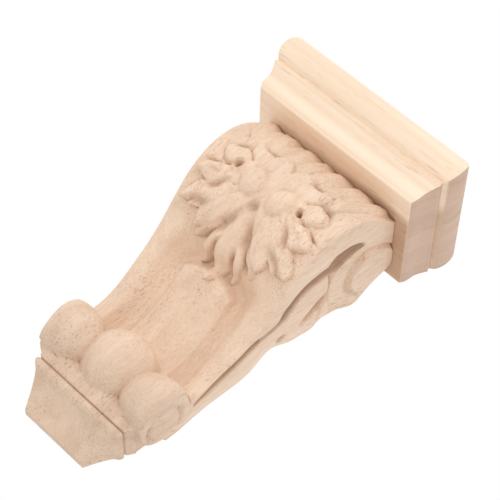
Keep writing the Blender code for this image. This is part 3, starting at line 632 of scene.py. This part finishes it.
def carved_body_mesh():
    """One closed mesh: carved front, two carved sides, and flat back, top and foot, with the painted shade of
    the cuts at each point.
    """
    drops = drop_stations()
    shares = np.linspace(-1.0, 1.0, FRONT_COLUMNS + 1)
    grid_share, grid_drop = np.meshgrid(shares, drops)
    across, out, lower, cut_shade = front_point(grid_share, grid_drop)
    rows = len(drops)
    front = np.arange(rows * len(shares)).reshape(rows, -1)
    verts = [place(across, out, lower).reshape(-1, 3)]
    cut_shades = [cut_shade.ravel()]
    count = front.size
    faces = [quads(front)]
    strips = {}
    for side, edge in ((1.0, -1), (-1.0, 0)):
        outs = side_stations(out[:, edge], drops)
        grid_drop = np.repeat(drops[:, None], outs.shape[1], axis=1)
        front_out = np.repeat(out[:, edge][:, None], outs.shape[1], axis=1)
        relief, cut_shade = side_relief(outs, grid_drop, front_out)
        carved = half_width(grid_drop) + relief
        cut_shades.append(cut_shade.ravel())
        numbers = count + np.arange(outs.size).reshape(outs.shape)
        verts.append(place(side * carved, outs, grid_drop).reshape(-1, 3))
        count += outs.size
        grid = np.concatenate([front[:, edge][:, None], numbers], axis=1)
        faces.append(quads(grid, flip=side < 0))
        strips[side] = grid
    right, left = strips[1.0], strips[-1.0]
    back = np.stack([right[:, -1], left[:, -1]], axis=1)
    faces.append(quads(back))
    faces = [tuple(f) for f in np.concatenate(faces).tolist()]
    top = list(front[0]) + list(right[0][1:]) + list(left[0][:0:-1])
    foot = list(front[-1]) + list(right[-1][1:]) + list(left[-1][:0:-1])
    faces.append(tuple(int(v) for v in top))
    faces.append(tuple(int(v) for v in reversed(foot)))
    return np.concatenate(verts).tolist(), faces, np.concatenate(cut_shades)


def cap_profile():
    """Cap moulding from its underside up: (distance out past the underside, height)."""
    height = cap_high.z - cap_low.z
    flare = cap_high.x - CAP_UNDERSIDE_HALF
    points = []
    for k in range(CAP_EDGE_STEPS + 1):
        turn = math.radians(90.0 * k / CAP_EDGE_STEPS)
        points.append((-CAP_EDGE_ROUND * (1.0 - math.sin(turn)), CAP_EDGE_ROUND * (1.0 - math.cos(turn))))
    ogee = spline([(h, o) for o, h in CAP_OGEE])
    for k in range(1, CAP_OGEE_STEPS + 1):
        share = CAP_OGEE[0][1] + (CAP_OGEE[-1][1] - CAP_OGEE[0][1]) * k / CAP_OGEE_STEPS
        points.append((float(ogee(share)) * flare, share * height))
    for k in range(CAP_ROUND_STEPS + 1):
        turn = math.radians(CAP_ROUND_START + (CAP_ROUND_END - CAP_ROUND_START) * k / CAP_ROUND_STEPS)
        points.append((flare * (CAP_ROUND_CENTRE[0] + CAP_ROUND_REACH[0] * math.cos(turn)),
                       height * (CAP_ROUND_CENTRE[1] + CAP_ROUND_REACH[1] * math.sin(turn))))
    return points


def cap_ring(out, z):
    """One outline of the cap, with softened front corners."""
    half = CAP_UNDERSIDE_HALF + out
    depth = CAP_UNDERSIDE_DEPTH + out
    ring = [(-half, 0.0, z)]
    for side in (-1.0, 1.0):
        for k in range(CAP_CORNER_STEPS + 1):
            turn = math.radians(90.0 * k / CAP_CORNER_STEPS)
            if side > 0:
                turn = math.radians(90.0) - turn
            ring.append((side * (half - CAP_CORNER_ROUND * (1.0 - math.cos(turn))),
                         -(depth - CAP_CORNER_ROUND * (1.0 - math.sin(turn))), z))
    ring.append((half, 0.0, z))
    return ring


def moulded_cap_mesh():
    """The profile run round three sides and closed flat at the back, underside and top."""
    verts = []
    faces = []
    rings = []
    for out, height in cap_profile():
        ring = cap_ring(out, cap_low.z + height)
        rings.append([len(verts) + i for i in range(len(ring))])
        verts.extend(ring)
    for low, high in zip(rings, rings[1:]):
        for i in range(len(low)):
            j = (i + 1) % len(low)
            faces.append((low[i], low[j], high[j], high[i]))
    faces.append(tuple(reversed(rings[0])))
    faces.append(tuple(rings[-1]))
    return verts, faces


class Nodes:
    """Short ways to build a material's node tree."""

    def __init__(self, name):
        self.material = bpy.data.materials.new(name)
        self.material.use_nodes = True
        self.tree = self.material.node_tree
        self.shader = self.tree.nodes["Principled BSDF"]
        self.place = self.tree.nodes.new("ShaderNodeTexCoord").outputs["Object"]

    def link(self, source, target):
        self.tree.links.new(source, target)

    def stretched(self, scale):
        """Object coordinates multiplied along X, Y and Z."""
        node = self.tree.nodes.new("ShaderNodeMapping")
        node.inputs["Scale"].default_value = scale
        self.link(self.place, node.inputs["Vector"])
        return node.outputs["Vector"]

    def noise(self, scale, detail=2.0, distortion=0.0):
        """Noise with this many features a metre along X, Y and Z."""
        node = self.tree.nodes.new("ShaderNodeTexNoise")
        node.inputs["Scale"].default_value = 1.0
        node.inputs["Detail"].default_value = detail
        node.inputs["Distortion"].default_value = distortion
        self.link(self.stretched(scale), node.inputs["Vector"])
        return node.outputs["Fac"]

    def ramp(self, source, stops):
        """Colour ramp over (position, colour) stops."""
        node = self.tree.nodes.new("ShaderNodeValToRGB")
        band = node.color_ramp
        while len(band.elements) < len(stops):
            band.elements.new(0.5)
        for element, (position, colour) in zip(band.elements, stops):
            element.position = position
            element.color = (*colour, 1.0)
        self.link(source, node.inputs["Fac"])
        return node.outputs["Color"]

    def range(self, source, low, high, to_low=0.0, to_high=1.0):
        """Maps a value from one range to another, clamped."""
        node = self.tree.nodes.new("ShaderNodeMapRange")
        node.inputs["From Min"].default_value = low
        node.inputs["From Max"].default_value = high
        node.inputs["To Min"].default_value = to_low
        node.inputs["To Max"].default_value = to_high
        self.link(source, node.inputs["Value"])
        return node.outputs["Result"]

    def maths(self, operation, first, second=None):
        """One sum of two sockets or numbers."""
        node = self.tree.nodes.new("ShaderNodeMath")
        node.operation = operation
        for socket, value in zip(node.inputs, (first, second)):
            if value is None:
                continue
            if isinstance(value, float):
                socket.default_value = value
            else:
                self.link(value, socket)
        return node.outputs["Value"]

    def mix(self, factor, first, second, blend="MIX"):
        """Mixes two colours, each a socket or an RGB triple."""
        node = self.tree.nodes.new("ShaderNodeMix")
        node.data_type = "RGBA"
        node.blend_type = blend
        if isinstance(factor, float):
            node.inputs["Factor"].default_value = factor
        else:
            self.link(factor, node.inputs["Factor"])
        for socket, value in ((node.inputs[6], first), (node.inputs[7], second)):
            if isinstance(value, tuple):
                socket.default_value = (*value, 1.0)
            else:
                self.link(value, socket)
        return node.outputs[2]

    def split(self, vector, axis):
        """One axis of a vector socket."""
        node = self.tree.nodes.new("ShaderNodeSeparateXYZ")
        self.link(vector, node.inputs["Vector"])
        return node.outputs[axis]

    def painted(self, name):
        """A value held on the mesh's own points."""
        node = self.tree.nodes.new("ShaderNodeAttribute")
        node.attribute_name = name
        return node.outputs["Fac"]

    def bump(self, height, strength, distance):
        """Fine relief in the surface's shading."""
        node = self.tree.nodes.new("ShaderNodeBump")
        node.inputs["Strength"].default_value = strength
        node.inputs["Distance"].default_value = distance
        self.link(height, node.inputs["Height"])
        self.link(node.outputs["Normal"], self.shader.inputs["Normal"])

    def finish(self, colour, roughness):
        self.link(colour, self.shader.inputs["Base Color"])
        self.link(roughness, self.shader.inputs["Roughness"])
        self.shader.inputs["Metallic"].default_value = 0.0
        return self.material


def body_wood():
    """Raw rubberwood carved along the grain, which runs down the bracket: soft rings, fine pores."""
    wood = Nodes("carved_rubberwood")
    streak = wood.noise((170.0, 170.0, 9.0), detail=4.0, distortion=0.4)
    broad = wood.noise((26.0, 26.0, 7.0), detail=2.0, distortion=0.8)
    colour = wood.ramp(streak, [(0.30, BODY_TONES[0]), (0.70, BODY_TONES[1])])
    warm = wood.ramp(broad, [(0.35, (0.95, 0.93, 0.90)), (0.65, (1.04, 1.03, 1.01))])
    colour = wood.mix(1.0, colour, warm, "MULTIPLY")
    fibre = wood.noise((1500.0, 1500.0, 60.0), detail=3.0)
    fibre_tone = wood.ramp(fibre, [(0.32, (0.93, 0.90, 0.87)), (0.62, (1.02, 1.02, 1.02))])
    colour = wood.mix(1.0, colour, fibre_tone, "MULTIPLY")
    pore = wood.noise((1600.0, 1600.0, 190.0), detail=1.0)
    patch = wood.noise((45.0, 45.0, 20.0), detail=2.0)
    pore_mask = wood.maths("MULTIPLY", wood.range(pore, 0.62, 0.70), wood.range(patch, 0.38, 0.60, 0.15, 1.0))
    colour = wood.mix(wood.maths("MULTIPLY", pore_mask, 0.60), colour, BODY_PORE)
    height = wood.split(wood.place, "Z")
    # painted light: a band across the upper body is made a little paler
    light_lift = wood.maths("MULTIPLY", wood.range(height, *PAINTED_LIGHT_LOW), wood.range(height, *PAINTED_LIGHT_HIGH))
    colour = wood.mix(light_lift, colour, PAINTED_LIGHT_LIFT, "MULTIPLY")
    low = wood.range(height, FOOT_SHADE_LOW, FOOT_SHADE_HIGH)
    colour = wood.mix(1.0, colour, wood.ramp(low, [(0.0, FOOT_SHADE), (1.0, (1.0, 1.0, 1.0))]), "MULTIPLY")
    # painted shade: the body's cuts are darkened towards this brown
    cut_shade = wood.maths("MULTIPLY", wood.painted("cut_shade"), 0.95)
    colour = wood.mix(cut_shade, colour, CUT_SHADE_COLOUR, "MULTIPLY")
    tooling = wood.noise((520.0, 520.0, 240.0), detail=3.0)
    rough = wood.maths("ADD", wood.maths("MULTIPLY", fibre, 0.5), wood.maths("MULTIPLY", tooling, 1.4))
    wood.bump(wood.maths("SUBTRACT", rough, pore_mask), 0.60, 0.00026)
    return wood.finish(colour, wood.range(streak, 0.3, 0.7, 0.66, 0.56))


def cap_wood():
    """Pale straw rubberwood with straight grain across the bracket, and end grain at its ends, with a painted
    shadow under it by the joint.
    """
    wood = Nodes("straight_rubberwood")
    streak = wood.noise((7.0, 240.0, 240.0), detail=4.0, distortion=0.3)
    broad = wood.noise((5.0, 40.0, 40.0), detail=2.0, distortion=0.5)
    colour = wood.ramp(streak, [(0.30, CAP_TONES[0]), (0.68, CAP_TONES[1])])
    warm = wood.ramp(broad, [(0.35, (0.96, 0.95, 0.92)), (0.65, (1.03, 1.02, 1.01))])
    colour = wood.mix(1.0, colour, warm, "MULTIPLY")
    pore = wood.noise((95.0, 1300.0, 1300.0), detail=1.0)
    patch = wood.noise((9.0, 70.0, 70.0), detail=2.0)
    pore_mask = wood.maths("MULTIPLY", wood.range(pore, 0.60, 0.70), wood.range(patch, 0.42, 0.58, 0.05, 1.0))
    colour = wood.mix(wood.maths("MULTIPLY", pore_mask, 0.65), colour, CAP_PORE)
    ring = wood.noise((10.0, 120.0, 14.0), detail=3.0, distortion=0.6)
    end_colour = wood.ramp(ring, [(0.30, END_TONES[0]), (0.70, END_TONES[1])])
    speck = wood.noise((900.0, 2600.0, 2600.0), detail=1.0)
    speck_tone = wood.ramp(speck, [(0.34, (0.86, 0.82, 0.78)), (0.50, (1.0, 1.0, 1.0))])
    end_colour = wood.mix(1.0, end_colour, speck_tone, "MULTIPLY")
    geometry = wood.tree.nodes.new("ShaderNodeNewGeometry")
    end = wood.range(wood.maths("ABSOLUTE", wood.split(geometry.outputs["Normal"], "X")), 0.60, 0.85)
    colour = wood.mix(end, colour, end_colour)
    # painted shadow on the cap's underside beside the joint with the body
    joint_shadow = wood.maths("MULTIPLY", wood.range(wood.split(wood.place, "Y"), *JOINT_SHADOW_FRONT),
                          wood.range(wood.split(wood.place, "X"), *JOINT_SHADOW_SIDE))
    under = wood.range(wood.split(geometry.outputs["Normal"], "Z"), -0.5, -0.9)
    colour = wood.mix(wood.maths("MULTIPLY", joint_shadow, under), colour, JOINT_PAINTED_SHADOW, "MULTIPLY")
    height = wood.maths("SUBTRACT", wood.maths("MULTIPLY", streak, 0.4), pore_mask)
    wood.bump(height, 0.3, 0.0001)
    return wood.finish(colour, wood.range(streak, 0.3, 0.7, 0.62, 0.52))


def floor_paint():
    """Pale matt studio floor with the faintest mottling."""
    paint = Nodes("floor_paint")
    mottle = paint.noise((3.0, 3.0, 3.0), detail=3.0)
    colour = paint.ramp(mottle, [(0.3, (0.86, 0.86, 0.85)), (0.7, (0.89, 0.89, 0.88))])
    return paint.finish(colour, paint.range(mottle, 0.3, 0.7, 0.85, 0.80))


def make(name, mesh_data, material, sharp_degrees):
    """An object from vertices, faces and, where there are any, its points' painted shade in the cuts."""
    verts, faces = mesh_data[:2]
    mesh = bpy.data.meshes.new(name)
    mesh.from_pydata(verts, [], faces)
    # the painted shade of the cuts is stored on the mesh's points
    if len(mesh_data) > 2:
        mesh.attributes.new("cut_shade", "FLOAT", "POINT").data.foreach_set("value", mesh_data[2])
    mesh.materials.append(material)
    mesh.validate()
    mesh.shade_smooth()
    mesh.set_sharp_from_angle(angle=math.radians(sharp_degrees))
    piece = bpy.data.objects.new(name, mesh)
    bpy.context.scene.collection.objects.link(piece)
    return piece


def dress(name, mesh_data, material, sharp_degrees, node):
    """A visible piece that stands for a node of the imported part."""
    piece = make(name, mesh_data, material, sharp_degrees)
    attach(piece, "root")
    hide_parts(node)
    return piece


def area_light(name, place_at, aim_at, size, watts, colour):
    light = bpy.data.lights.new(name, "AREA")
    light.shape = "SQUARE"
    light.size = size
    light.energy = watts
    light.color = colour
    lamp = bpy.data.objects.new(name, light)
    lamp.location = place_at
    lamp.rotation_euler = (Vector(aim_at) - Vector(place_at)).to_track_quat("-Z", "Y").to_euler()
    bpy.context.scene.collection.objects.link(lamp)
    return lamp


def studio():
    """Pale floor far below the bracket, white surroundings and two soft lights."""
    reach = 3.0
    level = -1.1
    corners = [(-reach, -reach, level), (reach, -reach, level), (reach, reach, level), (-reach, reach, level)]
    floor = make("studio_floor", (corners, [(0, 1, 2, 3)]), floor_paint(), 30.0)
    world = bpy.data.worlds.new("studio")
    world.use_nodes = True
    tree = world.node_tree
    background = tree.nodes["Background"]
    background.inputs["Color"].default_value = (1.0, 1.0, 1.0, 1.0)
    background.inputs["Strength"].default_value = 1.0
    bpy.context.scene.world = world
    area_light("key", (0.25, -1.5, 0.45), (0.0, -0.03, -0.03), 0.9, 4.2, (1.0, 0.99, 0.975))
    area_light("side", (-1.3, -0.7, 0.5), (0.0, -0.03, -0.03), 0.8, 1.9, (1.0, 1.0, 1.0))


def camera():
    """The photograph's viewing angle."""
    right = CAMERA_RIGHT.normalized()
    back = CAMERA_BACK.normalized()
    up = back.cross(right).normalized()
    view = Matrix((right, up, back)).transposed().to_4x4()
    view.translation = CAMERA_PLACE
    data = bpy.data.cameras.new("camera")
    data.lens = CAMERA_LENS
    data.sensor_width = 36.0
    data.clip_start = 0.05
    data.clip_end = 20.0
    eye = bpy.data.objects.new("camera", data)
    eye.matrix_world = view
    bpy.context.scene.collection.objects.link(eye)
    bpy.context.scene.camera = eye


dress("carved_body", carved_body_mesh(), body_wood(), 50.0, "corbel_body")
dress("moulded_cap", moulded_cap_mesh(), cap_wood(), 35.0, "cap_block")
studio()
camera()
bpy.context.scene.view_settings.view_transform = "Standard"
